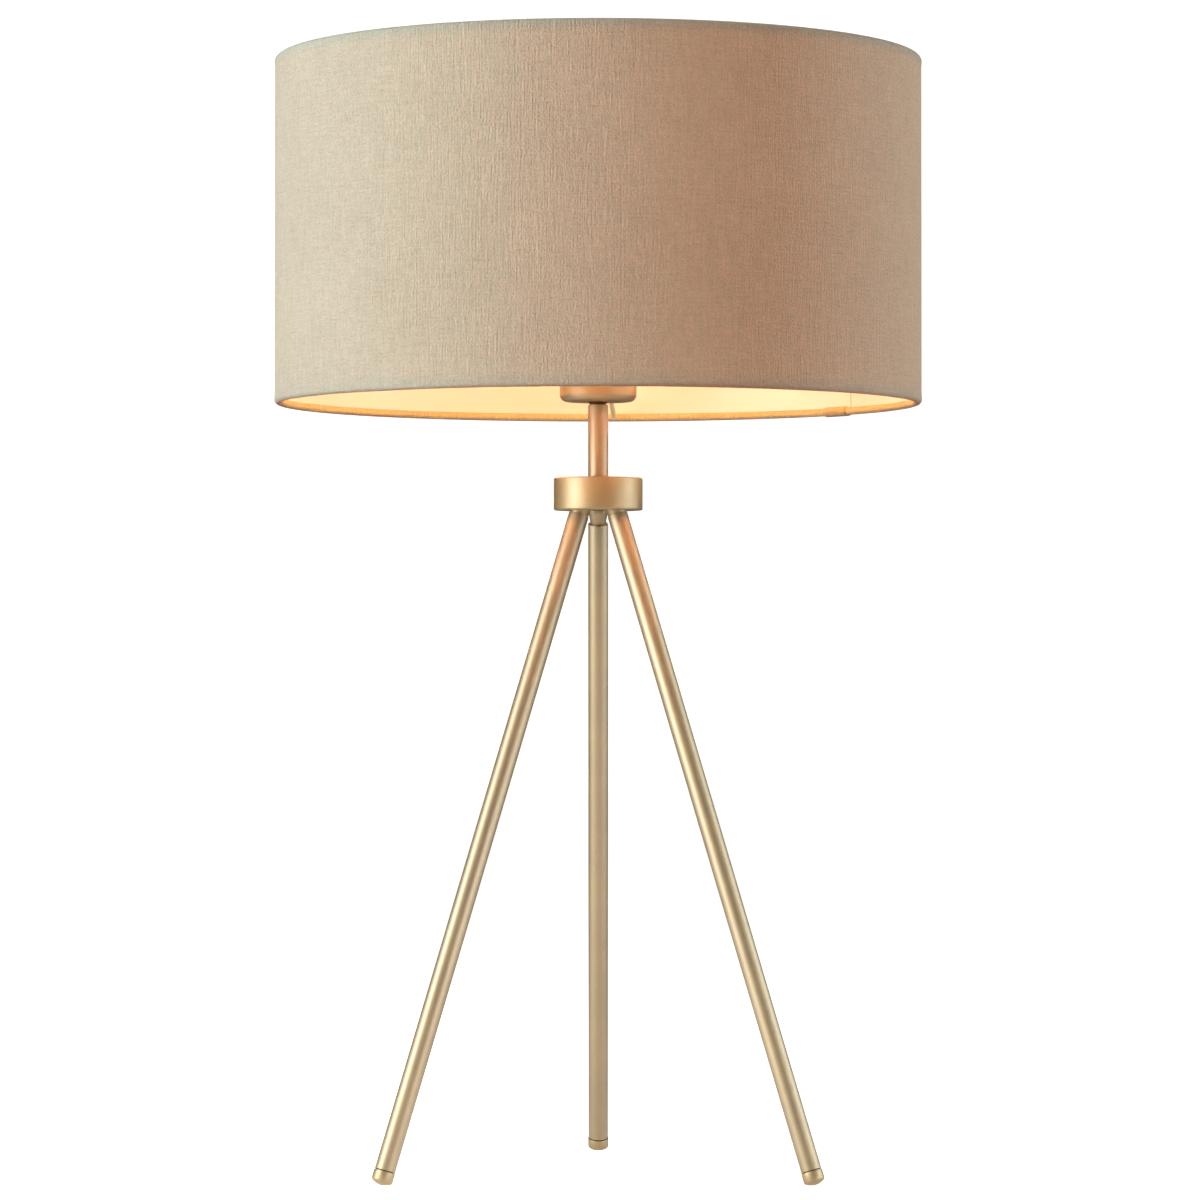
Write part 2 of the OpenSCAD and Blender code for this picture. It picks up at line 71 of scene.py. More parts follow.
hub_low, hub_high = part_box("hub")
stem_low, stem_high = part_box("stem_tube")
spacer_low, spacer_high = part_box("neck_spacer")
cup_low, cup_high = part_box("holder_cup")
sleeve_low, sleeve_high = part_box("holder_sleeve")
cover_low, cover_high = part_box("shade_fabric")
liner_low, liner_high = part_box("shade_liner")
cap_low, cap_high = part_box("bulb_cap")
glass_low, glass_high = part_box("bulb_glass")
tip_low, tip_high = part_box("bulb_tip")
insulator_low, insulator_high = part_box("bulb_insulator")
grommet_low, grommet_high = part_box("cord_grommet")
nipple_low, nipple_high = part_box("holder_nipple")
centre_low, centre_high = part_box("spider_centre_ring")

LEGS = {"rear": 90, "left": 210, "right": 330}  # degrees from +X
ARMS = {"rear": 87, "left": 207, "right": 327}  # the same, of the shade's spider
LEG_TILT = math.radians(18.7)
LEG_TOP_R = 10.2 * MM
LEG_R = 5 * MM
LEG_WALL = 1 * MM
NOSE_R = 5.1 * MM
NOSE_TAPER = math.tan(math.radians(12))
NOSE_BARE = {"rear": 6.6 * MM, "left": 2.6 * MM, "right": 2.6 * MM}
CAP_R = 5.2 * MM
CAP_LEN = 5.2 * MM
DOME_H = 1.9 * MM
FOOT_FLAT = 0.3 * MM
SHADE_R = 160 * MM
HEM_R = 2.05 * MM
FABRIC_T = 0.5 * MM
SEAM_AT = math.radians(38.6)
SEAM_W = 17 * MM
LINER_T = 0.4 * MM
LINER_EDGE_AT = math.radians(35.2)
LINER_LAP = math.radians(4)
SOFT = 0.5 * MM  # the rounding of a moulded or pressed edge

wire_ring_r = SHADE_R - HEM_R
bottom_wire_z = cover_low.z + HEM_R
top_wire_z = cover_high.z - HEM_R
dome_r = (CAP_R ** 2 + DOME_H ** 2) / (2 * DOME_H)
dome_at = (hub_low.z - dome_r + FOOT_FLAT) / math.cos(LEG_TILT)
foot_seam = dome_at + dome_r - DOME_H - CAP_LEN  # along the leg, from the hub's underside


# ---- shaping ----

MERGE_WITHIN = MM / 1000
RUN = "run"  # the UV map, in metres, of a piece whose finish follows its surface
GROOVE = "groove"  # the attribute that is 1 in a fine groove, where shade is painted


def put_down():
    """Leaves edit mode and selects nothing."""
    if bpy.context.object and bpy.context.object.mode != "OBJECT":
        bpy.ops.object.mode_set(mode="OBJECT")
    bpy.ops.object.select_all(action="DESELECT")


def take_up(piece):
    """Selects one piece and makes it the active one."""
    put_down()
    piece.select_set(True)
    bpy.context.view_layer.objects.active = piece


def arc(centre, radius, start, end, count):
    """Points on an arc of the (radius, height) plane, between two angles in degrees, both included."""
    turns = [math.radians(start + (end - start) * i / (count - 1)) for i in range(count)]
    return [(centre[0] + radius * math.cos(t), centre[1] + radius * math.sin(t)) for t in turns]


def rounded_side(radius, low, high, soft, count=5):
    """The outer side of a turned piece, upwards, with both of its corners rounded."""
    return (arc((radius - soft, low + soft), soft, -90, 0, count)
            + arc((radius - soft, high - soft), soft, 0, 90, count))


def rounded_tube(radius, wall, start, end, edge):
    """Outline of a tube along the upright axis, with rounded outer edges at both ends."""
    return ([(radius - wall, start), (radius - edge, start)]
            + rounded_side(radius, start, end, edge)[1:]
            + [(radius - wall, end)])


def draw(name, points):
    """A chain of edges through (radius, height) points in the upright plane, left in edit mode."""
    put_down()
    bpy.ops.mesh.primitive_plane_add(size=MM, location=(points[0][0], 0, points[0][1]))
    piece = bpy.context.object
    piece.name = piece.data.name = name
    bpy.ops.object.transform_apply(location=True, rotation=True, scale=True)
    bpy.ops.object.mode_set(mode="EDIT")
    bpy.ops.mesh.select_all(action="SELECT")
    bpy.ops.mesh.merge(type="CENTER")
    for (r0, z0), (r1, z1) in zip(points, points[1:]):
        bpy.ops.mesh.extrude_vertices_move(TRANSFORM_OT_translate={"value": (r1 - r0, 0, z1 - z0)})
    return piece


def smooth(piece, degrees=35):
    """Shades a piece smooth, but for edges sharper than an angle."""
    take_up(piece)
    bpy.ops.object.shade_smooth_by_angle(angle=math.radians(degrees))
    return piece


def turn(name, points, steps=96, closed=True, sweep=math.tau, degrees=35):
    """Turns an outline round the lamp's axis. One that starts and ends on the axis needs no closing."""
    on_axis = points[0][0] == 0 and points[-1][0] == 0
    piece = draw(name, points + points[:1] if closed and not on_axis else points)
    bpy.ops.mesh.select_all(action="SELECT")
    bpy.ops.mesh.remove_doubles(threshold=MERGE_WITHIN)
    bpy.ops.mesh.select_all(action="SELECT")
    bpy.ops.mesh.spin(steps=steps, angle=sweep, center=ORIGIN, axis=(0, 0, 1))
    bpy.ops.mesh.select_all(action="SELECT")
    bpy.ops.mesh.remove_doubles(threshold=MERGE_WITHIN)
    bpy.ops.mesh.normals_make_consistent(inside=False)
    return smooth(piece, degrees)


def apply_all(piece):
    """Applies a piece's modifiers."""
    take_up(piece)
    for modifier in list(piece.modifiers):
        bpy.ops.object.modifier_apply(modifier=modifier.name)


def unwrap_round(piece, radius):
    """A UV map in metres: across it is the way round the upright axis, and up it is the height."""
    mesh = piece.data
    uv = (mesh.uv_layers.get(RUN) or mesh.uv_layers.new(name=RUN)).data
    for face in mesh.polygons:
        turns = [math.atan2(mesh.vertices[v].co.y, mesh.vertices[v].co.x) for v in face.vertices]
        widest = max(turns)
        for loop, vertex, t in zip(face.loop_indices, face.vertices, turns):
            t += math.tau if widest - t > math.pi else 0
            uv[loop].uv = (t * radius, mesh.vertices[vertex].co.z)
    return piece


def move(piece, place):
    """Moves a piece's mesh by a matrix and leaves its object at the origin."""
    take_up(piece)
    piece.matrix_world = place
    bpy.ops.object.transform_apply(location=True, rotation=True, scale=True)
    return piece


def swing(piece, angle):
    """Turns a piece's mesh round the lamp's axis, by an angle in radians."""
    return move(piece, Matrix.Rotation(angle, 4, "Z"))


def again(piece, name):
    """A copy of a piece with its own mesh."""
    copy = piece.copy()
    copy.data = piece.data.copy()
    copy.name = copy.data.name = name
    bpy.context.scene.collection.objects.link(copy)
    return copy


def join(first, *others):
    """Makes several pieces one, under the first one's name."""
    take_up(first)
    for other in others:
        other.select_set(True)
    bpy.ops.object.join()
    return first


def lean(piece, angle):
    """Puts a piece drawn up from the origin on a leg: up becomes down the leg from the hub's underside."""
    place = Matrix.Rotation(math.radians(angle), 4, "Z")
    place = place @ Matrix.Translation((LEG_TOP_R, 0, hub_low.z))
    place = place @ Matrix.Rotation(math.pi - LEG_TILT, 4, "Y")
    move(piece, place)


def settle(piece, body, finish, node):
    """Gives a finished piece its finish, and lets it stand for a CAD node on its body."""
    piece.data.materials.clear()
    piece.data.materials.append(finish)
    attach(piece, body)
    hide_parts(node)


# ---- materials ----

def feed(tree, socket, value):
    """Links a socket to another node's output, or sets its number or colour."""
    if isinstance(value, bpy.types.NodeSocket):
        tree.links.new(value, socket)
    else:
        socket.default_value = value


def give(tree, node, **inputs):
    """Feeds a node's inputs by name, with _ for a blank."""
    for key, value in inputs.items():
        feed(tree, node.inputs[key.replace("_", " ")], value)


def put(tree, kind, settings=None, **inputs):
    """Adds a node. Its inputs are numbers or other nodes' outputs, by name, with _ for a blank."""
    node = tree.nodes.new(kind)
    for key, value in (settings or {}).items():
        setattr(node, key, value)
    give(tree, node, **inputs)
    return node


def sums(tree, operation, *values):
    node = tree.nodes.new("ShaderNodeMath")
    node.operation = operation
    for socket, value in zip(node.inputs, values):
        feed(tree, socket, value)
    return node.outputs[0]


def times(tree, value, factor):
    return sums(tree, "MULTIPLY", value, factor)


def add(tree, first, *others):
    for other in others:
        first = sums(tree, "ADD", first, other)
    return first


def own_place(tree):
    """Where a point is on the lamp, in metres."""
    return put(tree, "ShaderNodeTexCoord").outputs["Object"]


def unwrapped(tree):
    """Where a point is on its piece's UV map, in metres."""
    return put(tree, "ShaderNodeUVMap", {"uv_map": RUN}).outputs[0]


def split(tree, vector):
    """A vector's parts, by their names X, Y and Z."""
    return put(tree, "ShaderNodeSeparateXYZ", Vector=vector).outputs


def length(tree, vector):
    return put(tree, "ShaderNodeVectorMath", {"operation": "LENGTH"}, Vector=vector).outputs["Value"]


def stretch(tree, vector, scale):
    return put(tree, "ShaderNodeMapping", Vector=vector, Scale=scale).outputs[0]


def noise(tree, vector, scale, detail=2.0, rough=0.5):
    """Noise in space, with so many changes per metre."""
    node = put(tree, "ShaderNodeTexNoise", Vector=vector, Scale=scale, Detail=detail, Roughness=rough)
    return node.outputs["Fac"]


def flat_noise(tree, vector, across, up, detail, rough=0.5):
    """Noise on an unwrapped surface, with so many changes each way per unit of the vector."""
    node = put(tree, "ShaderNodeTexNoise", {"noise_dimensions": "2D"},
               Vector=stretch(tree, vector, (across, up, 1)), Scale=1.0, Detail=detail, Roughness=rough)
    return node.outputs["Fac"]


def spread(tree, value, low, high, to_low=0.0, to_high=1.0):
    """Spreads a value between two levels over another range, and holds it at the range's ends."""
    node = put(tree, "ShaderNodeMapRange", Value=value)
    for key, number in (("From Min", low), ("From Max", high), ("To Min", to_low), ("To Max", to_high)):
        node.inputs[key].default_value = number
    return node.outputs[0]


def blend_colours(tree, factor, first, second):
    node = put(tree, "ShaderNodeMix", {"data_type": "RGBA"}, Factor=factor)
    feed(tree, node.inputs[6], first)
    feed(tree, node.inputs[7], second)
    return node.outputs[2]


def colour(red, green, blue):
    """A colour as it looks on a screen, 0 to 255, as the linear one that a shader takes."""
    parts = [c / 255 for c in (red, green, blue)]
    return tuple(c / 12.92 if c <= 0.04045 else ((c + 0.055) / 1.055) ** 2.4 for c in parts) + (1.0,)


def new_finish(name):
    material = bpy.data.materials.new(name)
    material.use_nodes = True
    return material, material.node_tree, material.node_tree.nodes["Principled BSDF"]


def bump(tree, shader, height, strength, distance):
    node = put(tree, "ShaderNodeBump", Height=height, Strength=strength, Distance=distance)
    tree.links.new(node.outputs[0], shader.inputs["Normal"])
    return node.outputs[0]


PLATING = (0.52, 0.365, 0.185, 1)
PLATING_DARK = (0.45, 0.30, 0.16, 1)
WARM_LIT_TURNED_PLATING = (0.54, 0.365, 0.155, 1)  # painted reflection: warmer than the tubes, for the lamp's warm light that the hub and cup mirror
WARM_LIT_TURNED_DARK = (0.47, 0.305, 0.13, 1)
GROOVE_SHADE = (0.06, 0.03, 0.012, 1)  # painted shade in a fine groove, where no light gets
PLATING_ROUGH = 0.53
LACQUER_ROUGH = 0.46
LACQUER_IOR = 1.75
FINE_LINES = 9000  # per metre, across the faint lines of the plating
LONG_LINES = 60  # per metre, along them


def satin_metal(name, along=False):
    """Fine blasted champagne plating under a satin lacquer.

    Its faint lines run along a tube, or round a turned piece.
    """
    material, tree, shader = new_finish(name)
    place = own_place(tree)
    if along:
        lines = flat_noise(tree, unwrapped(tree), FINE_LINES, LONG_LINES, detail=3.0, rough=0.6)
        dark, light = PLATING_DARK, PLATING
    else:
        apart = split(tree, place)
        level = put(tree, "ShaderNodeCombineXYZ", X=apart["X"], Y=apart["Y"]).outputs[0]
        rings = put(tree, "ShaderNodeCombineXYZ", X=length(tree, level), Y=apart["Z"]).outputs[0]
        lines = flat_noise(tree, rings, FINE_LINES, FINE_LINES, detail=3.0, rough=0.6)
        dark, light = WARM_LIT_TURNED_DARK, WARM_LIT_TURNED_PLATING
    clouds = noise(tree, place, 45.0, detail=4.0, rough=0.6)
    specks = noise(tree, place, 3200.0, detail=3.0, rough=0.6)
    tone = add(tree, times(tree, clouds, 0.5), times(tree, specks, 0.5))
    plating = blend_colours(tree, spread(tree, tone, 0.35, 0.65), dark, light)
    # painted shade: where the groove mark is 1, the plating turns near black and loses its lacquer
    groove = put(tree, "ShaderNodeAttribute", {"attribute_name": GROOVE}).outputs["Fac"]
    give(tree, shader, Metallic=1.0,
         Base_Color=blend_colours(tree, groove, plating, GROOVE_SHADE),
         Roughness=add(tree, times(tree, lines, 0.06), times(tree, clouds, 0.06), PLATING_ROUGH),
         Coat_Weight=sums(tree, "SUBTRACT", 1.0, groove), Coat_Roughness=LACQUER_ROUGH, Coat_IOR=LACQUER_IOR)
    grain = add(tree, times(tree, lines, 0.5), specks)
    give(tree, shader, Coat_Normal=bump(tree, shader, grain, 0.10, 0.02 * MM))
    return material


GLOW = (0.275, 0.06, 0.0, 1)  # the lamp's light through the cloth
GLOW_GREY = (0.24, 0.06, 0.0, 1)  # the same where the yarn is darker
HEM_GLOW = (0.40, 0.20, 0.06, 1)  # the same on the hem's inner side
LINEN_COLOUR = (0.43, 0.47, 0.37, 1)
HEM_PAINTED_LIGHT_COLOUR = (0.50, 0.37, 0.15, 1)  # painted light: the inner side of the hem is tinted warm for the light that has been through cloth and falls there
END_PITCH = 0.8  # mm from one upright thread of the weave to the next but one
PICK_PITCH = 0.9  # mm, the same for the level threads


def linen(name, lap=1.0):
    """Slubbed linen with the lamp lit behind it. lap is the share of the light that comes through."""
    material, tree, shader = new_finish(name)
    mm = stretch(tree, unwrapped(tree), (PER_MM, PER_MM, 1))

    def yarn(across, up, part):
        """Light and dark yarn, so many changes per mm across and up, as a share of the tone."""
        value = flat_noise(tree, mm, across, up, detail=3.0, rough=0.65)
        return spread(tree, value, 0.25, 0.75, -part, part)

    def spots(across, up, from_level, to_level, part):
        """Sparse spots, where noise with so many changes per mm passes a level."""
        return spread(tree, flat_noise(tree, mm, across, up, detail=1.0), from_level, to_level, 0.0, part)

    apart = split(tree, mm)
    ends = sums(tree, "SINE", times(tree, apart["X"], math.tau / END_PITCH))
    picks = sums(tree, "SINE", times(tree, apart["Y"], math.tau / PICK_PITCH))
    weave = times(tree, ends, picks)
    grain = yarn(1.0, 0.95, 0.30)
    ends_yarn = yarn(1.05, 0.06, 0.125)
    picks_yarn = yarn(0.06, 1.0, 0.12)
    streaks = yarn(0.3, 0.03, 0.05)
    mottle = yarn(0.3, 0.25, 0.10)
    clouds = yarn(0.02, 0.02, 0.07)
    slubs = spots(0.09, 0.9, 0.74, 0.80, -0.12)
    knots = spots(0.8, 0.12, 0.74, 0.80, 0.10)
    flecks = spots(0.75, 0.5, 0.80, 0.84, -0.5)
    tone = add(tree, grain, ends_yarn, picks_yarn, streaks, mottle, clouds,
               times(tree, weave, 0.04), slubs, knots, flecks)
    through = sums(tree, "MAXIMUM", add(tree, times(tree, tone, 0.45), 1.0), 0.1)
    surface = add(tree, times(tree, tone, 0.50), 1.0)

    height = apart["Y"]
    low = bottom_wire_z * PER_MM
    high = top_wire_z * PER_MM
    hem = HEM_R * PER_MM
    # painted shade: the glow is dimmer over the rolled hems, where the wire rings hold back the bulb's light
    low_hem = spread(tree, height, low - 0.5 * hem, low + 2.5 * hem, 0.7, 1.0)
    high_hem = spread(tree, height, high - 2.0 * hem, high + 0.5 * hem, 1.0, 0.5)
    # the hems' inner sides, where warm light is painted into the linen's colour and glow
    inside_low = spread(tree, height, low - 3.0 * hem, low - 2.1 * hem, 1.0, 0.0)
    inside_high = spread(tree, height, high + 2.1 * hem, high + 3.0 * hem)
    inside = add(tree, inside_low, inside_high)
    hems = sums(tree, "MAXIMUM", times(tree, low_hem, high_hem), inside)

    tinted = blend_colours(tree, inside, LINEN_COLOUR, HEM_PAINTED_LIGHT_COLOUR)
    plain = put(tree, "ShaderNodeVectorMath", {"operation": "SCALE"}, Vector=tinted, Scale=surface)
    patches = flat_noise(tree, mm, 0.16, 0.14, detail=5.0, rough=0.75)
    shown = blend_colours(tree, spread(tree, patches, 0.35, 0.65), GLOW, GLOW_GREY)
    give(tree, shader, Base_Color=plain.outputs[0], Roughness=0.92, Sheen_Weight=0.05, Sheen_Roughness=0.5,
         Emission_Color=blend_colours(tree, inside, shown, HEM_GLOW),
         Emission_Strength=times(tree, times(tree, through, hems), lap))
    relief = add(tree, grain, ends_yarn, ends_yarn, picks_yarn, times(tree, weave, 0.12))
    bump(tree, shader, relief, 1.0, 0.6 * MM)
    return material


# painted light: how strongly the sheeting glows with the bulb's light on it
LINER_GLOW = 0.08
LINER_EDGE_LINE = colour(176, 120, 52)  # a brown line along the lap's edge, which doesn't glow


def liner_finish(name):
    """Smooth cream sheeting, with the bulb's light on it painted as a faint glow that is warmer towards its
    foot.
    """
    material, tree, shader = new_finish(name)
    place = own_place(tree)
    clouds = noise(tree, place, 30.0, detail=3.0)
    round_way = split(tree, unwrapped(tree))["X"]
    from_edge = sums(tree, "ABSOLUTE", sums(tree, "SUBTRACT", round_way, LINER_EDGE_AT * SHADE_R))
    edge_line = spread(tree, from_edge, 0.25 * MM, 0.6 * MM, 1.0, 0.0)
    sheeting = blend_colours(tree, clouds, colour(247, 235, 221), colour(240, 227, 209))
    up = spread(tree, split(tree, place)["Z"], liner_low.z, liner_low.z + 22 * MM)
    give(tree, shader, Roughness=0.45,
         Base_Color=blend_colours(tree, edge_line, sheeting, LINER_EDGE_LINE),
         Emission_Color=blend_colours(tree, up, colour(255, 215, 150), colour(255, 238, 205)),
         Emission_Strength=spread(tree, edge_line, 0.0, 1.0, LINER_GLOW, 0.0))
    bump(tree, shader, noise(tree, place, 900.0), 0.05, 0.1 * MM)
    return material


def moulded(name, tint, roughness, metallic=0.0):
    """Moulded plastic, rubber, coated wire or a plain small metal part."""
    material, tree, shader = new_finish(name)
    place = own_place(tree)
    clouds = noise(tree, place, 120.0, detail=3.0, rough=0.55)
    darker = tuple(c * 0.9 for c in tint[:3]) + (1.0,)
    give(tree, shader, Base_Color=blend_colours(tree, clouds, darker, tint), Metallic=metallic,
         Roughness=spread(tree, clouds, 0.3, 0.7, roughness - 0.06, roughness + 0.08))
    bump(tree, shader, noise(tree, place, 2500.0), 0.08, 0.02 * MM)
    return material


def lit_opal(name):
    """Opal glass with the light on, warmer and less bright towards its neck."""
    material, tree, shader = new_finish(name)
    place = own_place(tree)
    up = spread(tree, split(tree, place)["Z"], cap_high.z, cap_high.z + 40 * MM)
    give(tree, shader, Base_Color=colour(250, 246, 236), Roughness=0.25,
         Emission_Color=blend_colours(tree, up, colour(255, 172, 108), colour(255, 185, 134)),
         Emission_Strength=spread(tree, up, 0.0, 1.0, 13.0, 40.0))
    bump(tree, shader, noise(tree, place, 400.0), 0.02, 0.05 * MM)
    return material


turned_metal = satin_metal("satin_champagne_turned")
tube_metal = satin_metal("satin_champagne_tube", along=True)
# painted shade: the neck spacer is dark brown so that it reads as the shade between the stem and the holder
# cup
painted_shade_neck_metal = moulded("painted_shade_champagne_neck", colour(104, 66, 34), 0.6, metallic=1.0)
shade_linen = linen("shade_linen")
lapped_linen = linen("shade_linen_lapped", lap=0.6)
cream_liner = liner_finish("cream_liner")
white_plastic = moulded("white_plastic", colour(238, 236, 228), 0.32)
white_wire = moulded("white_wire", colour(232, 229, 220), 0.4)
enamel = moulded("lit_white_enamel", colour(238, 227, 202), 0.4)
# painted light: the spider's enamel glows warm, for the bulb's light that falls on it
enamel_shader = enamel.node_tree.nodes["Principled BSDF"]
give(enamel.node_tree, enamel_shader, Emission_Color=colour(255, 196, 110), Emission_Strength=0.35)
black_rubber = moulded("black_rubber", colour(34, 34, 35), 0.7)
zinc = moulded("zinc_plate", colour(196, 198, 200), 0.35, metallic=1.0)
brass = moulded("plain_brass", colour(214, 176, 98), 0.3, metallic=1.0)
bright_metal = moulded("bright_metal", colour(212, 213, 214), 0.22, metallic=1.0)
black_glass = moulded("black_insulator_glass", colour(16, 16, 18), 0.15)
opal = lit_opal("lit_opal_glass")


# ---- tripod ----

TUBE_EDGE = 0.12 * MM
NOSE_IN = 2 * MM  # how far a nose goes up into the hub
PLUG_LEN = 3 * MM  # how far a nose or a cap goes into its tube
CAP_EDGE = 0.15 * MM
SEAM_GAP = 0.4 * MM  # the height of the line of painted shade between a tube and its cap
SEAM_R = LEG_R - 0.45 * MM  # the radius at the bottom of that line's groove
DOME_CORNER = 2  # degrees of the dome's arc that are left off at its rim


def shade_groove(piece, start, end):
    """Marks the outer faces between two heights, where the satin metal is painted dark as the shade in the
    groove.
    """
    mark = piece.data.attributes.new(GROOVE, "FLOAT", "FACE")
    for face in piece.data.polygons:
        between = start - 0.05 * MM < face.center.z < end + 0.01 * MM
        outside = face.center.xy.length > LEG_R - 0.5 * MM
        mark.data[face.index].value = 1.0 if between and outside else 0.0


for side, angle in LEGS.items():
    bare = NOSE_BARE[side]
    tube = turn(f"{side}_leg_tube", rounded_tube(LEG_R, LEG_WALL, bare, foot_seam, TUBE_EDGE), steps=64)
    lean(unwrap_round(tube, LEG_R), angle)
    settle(tube, "base", tube_metal, f"leg_tube_{side}")

    end_r = NOSE_R - bare * NOSE_TAPER
    nose_plug_r = min(end_r, LEG_R - LEG_WALL) - 0.1 * MM
    nose = turn(f"{side}_leg_nose", [
        (0, -NOSE_IN), (NOSE_R - 0.2 * MM, -NOSE_IN), (NOSE_R, -1.0 * MM), (NOSE_R, 0.1 * MM),
        (NOSE_R - 0.15 * MM, 0.4 * MM), (end_r + 0.1 * MM, bare - 0.3 * MM), (end_r, bare),
        (nose_plug_r, bare + 0.3 * MM), (nose_plug_r, bare + PLUG_LEN), (0, bare + PLUG_LEN)], steps=64)
    lean(nose, angle)
    settle(nose, "base", turned_metal, f"leg_nose_{side}")

    cap_plug_r = LEG_R - LEG_WALL - 0.05 * MM
    cap_plug_end = foot_seam - PLUG_LEN
    seam_start = foot_seam + 0.02 * MM
    cap_start = foot_seam + SEAM_GAP
    cap_end = foot_seam + CAP_LEN
    reach = math.degrees(math.asin(CAP_R / dome_r))
    cap = turn(f"{side}_foot_cap", [
        (0, cap_plug_end), (cap_plug_r, cap_plug_end), (cap_plug_r, seam_start), (SEAM_R, seam_start),
        (SEAM_R, cap_start), (CAP_R - CAP_EDGE, cap_start)]
        + arc((CAP_R - CAP_EDGE, cap_start + CAP_EDGE), CAP_EDGE, -90, 0, 5)[1:]
        + [(CAP_R, cap_end - 0.3 * MM)]
        + arc((0, dome_at), dome_r, 90 - reach + DOME_CORNER, 90, 12), steps=64)
    shade_groove(cap, foot_seam, cap_start)
    lean(cap, angle)
    bpy.ops.object.mode_set(mode="EDIT")
    bpy.ops.mesh.select_all(action="SELECT")
    bpy.ops.mesh.bisect(plane_co=ORIGIN, plane_no=(0, 0, 1), use_fill=True, clear_inner=True)
    settle(smooth(cap), "base", turned_metal, f"foot_cap_{side}")

hub_r = hub_high.x
hub_edge = 0.7 * MM
hub_passage = 3.6 * MM
hole_r = LEG_R + 0.1 * MM  # the stem is the same tube as the legs
hole_floor = hub_high.z - 3 * MM
flange_r = grommet_high.x
flange_t = 0.8 * MM
hub = turn("hub", [
    (hub_passage, hub_low.z + flange_t), (flange_r + 0.05 * MM, hub_low.z + flange_t),
    (flange_r + 0.05 * MM, hub_low.z + 0.2 * MM), (flange_r + 0.25 * MM, hub_low.z)]
    + rounded_side(hub_r, hub_low.z, hub_high.z, hub_edge, 6)
    + [(LEG_R + 0.45 * MM, hub_high.z), (hole_r, hub_high.z - 0.3 * MM), (hole_r, hole_floor),
       (hub_passage, hole_floor)], steps=128)
settle(hub, "base", turned_metal, "hub")

grommet_bore = 2.8 * MM
grommet_r = 3.55 * MM
flange_top = grommet_low.z + flange_t
flange_edge = 0.25 * MM
grommet = turn("cord_grommet", [
    (grommet_bore, grommet_low.z + SOFT)]
    + arc((grommet_bore + SOFT, grommet_low.z + SOFT), SOFT, 180, 270, 6)[1:]
    + arc((flange_r - flange_edge, grommet_low.z + flange_edge), flange_edge, -90, 0, 5)
    + [(flange_r, flange_top), (grommet_r, flange_top), (grommet_r, grommet_high.z - 0.6 * MM),
       (grommet_r - 0.3 * MM, grommet_high.z), (grommet_bore, grommet_high.z)], steps=64)
settle(grommet, "base", black_rubber, "cord_grommet")

# ---- stem and holder cup ----

stem_r = stem_high.x
stem = turn("stem_tube", rounded_tube(stem_r, 1 * MM, stem_low.z, stem_high.z, 0.2 * MM), steps=64)
unwrap_round(stem, stem_r)
settle(stem, "base", tube_metal, "stem_tube")

cup_r = cup_high.x
cup_wall = 0.8 * MM
cup_hole = 4.1 * MM
corner = 3.5 * MM
lip = 0.25 * MM
cup = turn("holder_cup", [
    (cup_hole, cup_low.z)]
    + arc((cup_r - corner, cup_low.z + corner), corner, -90, 0, 12)
    + arc((cup_r - lip, cup_high.z - lip), lip, 0, 90, 4)
    + [(cup_r - cup_wall, cup_high.z), (cup_r - cup_wall, cup_low.z + corner),
       (cup_r - corner, cup_low.z + cup_wall), (cup_hole, cup_low.z + cup_wall)], steps=128)
settle(cup, "base", turned_metal, "holder_cup")

spacer_r = spacer_high.x
spacer_bore = 4.05 * MM
spacer_edge = 0.15 * MM
groove_r = spacer_r - 0.6 * MM
groove_top = spacer_low.z + min(0.8 * MM, (spacer_high.z - spacer_low.z) * 0.6)
spacer = turn("neck_spacer", [
    (spacer_bore, spacer_low.z), (groove_r, spacer_low.z), (groove_r, groove_top)]
    + arc((spacer_r - spacer_edge, groove_top + spacer_edge), spacer_edge, -90, 0, 4)
    + [(spacer_r, spacer_high.z), (spacer_bore, spacer_high.z)], steps=64)
settle(spacer, "base", painted_shade_neck_metal, "neck_spacer")

# ---- lampholder ----

RIDGE = (0.28, 0.46, 0.74)  # where a thread's ridge is up, starts down and is down, in shares of its pitch


def thread(name, root, crest, pitch, start, turns, steps=48):
    """A helical ridge round the lamp's axis, closed at both ends."""
    up, over, down = (start + part * pitch for part in RIDGE)
    piece = draw(name, [(root, start), (crest, up), (crest, over), (root, down), (root, start)])
    bpy.ops.mesh.select_all(action="SELECT")
    bpy.ops.mesh.remove_doubles(threshold=MERGE_WITHIN)
    put_down()
    screw = piece.modifiers.new("thread", "SCREW")
    screw.axis = "Z"
    screw.angle = math.tau
    screw.screw_offset = pitch
    screw.iterations = turns
    screw.steps = screw.render_steps = steps
    screw.use_merge_vertices = False
    apply_all(piece)
    bpy.ops.object.mode_set(mode="EDIT")
    bpy.ops.mesh.select_all(action="SELECT")
    bpy.ops.mesh.fill_holes(sides=0)
    bpy.ops.mesh.normals_make_consistent(inside=False)
    return smooth(piece, 50)


nipple_crest = nipple_high.x
nipple_root = nipple_crest - 0.35 * MM
nipple_bore = 2.8 * MM
nipple_pitch = 1 * MM
nipple_end = 0.3 * MM  # the chamfer at each end
nipple = turn("holder_nipple", [
    (nipple_bore, nipple_low.z), (nipple_root - nipple_end, nipple_low.z),
    (nipple_root, nipple_low.z + nipple_end), (nipple_root, nipple_high.z - nipple_end),
    (nipple_root - nipple_end, nipple_high.z), (nipple_bore, nipple_high.z)], steps=48)
nipple_turns = int((nipple_high.z - nipple_low.z) / nipple_pitch) - 1
join(nipple, thread("nipple_thread", nipple_root - 0.1 * MM, nipple_crest, nipple_pitch,
                    nipple_low.z + 0.4 * MM, nipple_turns, steps=32))
settle(nipple, "base", zinc, "holder_nipple")

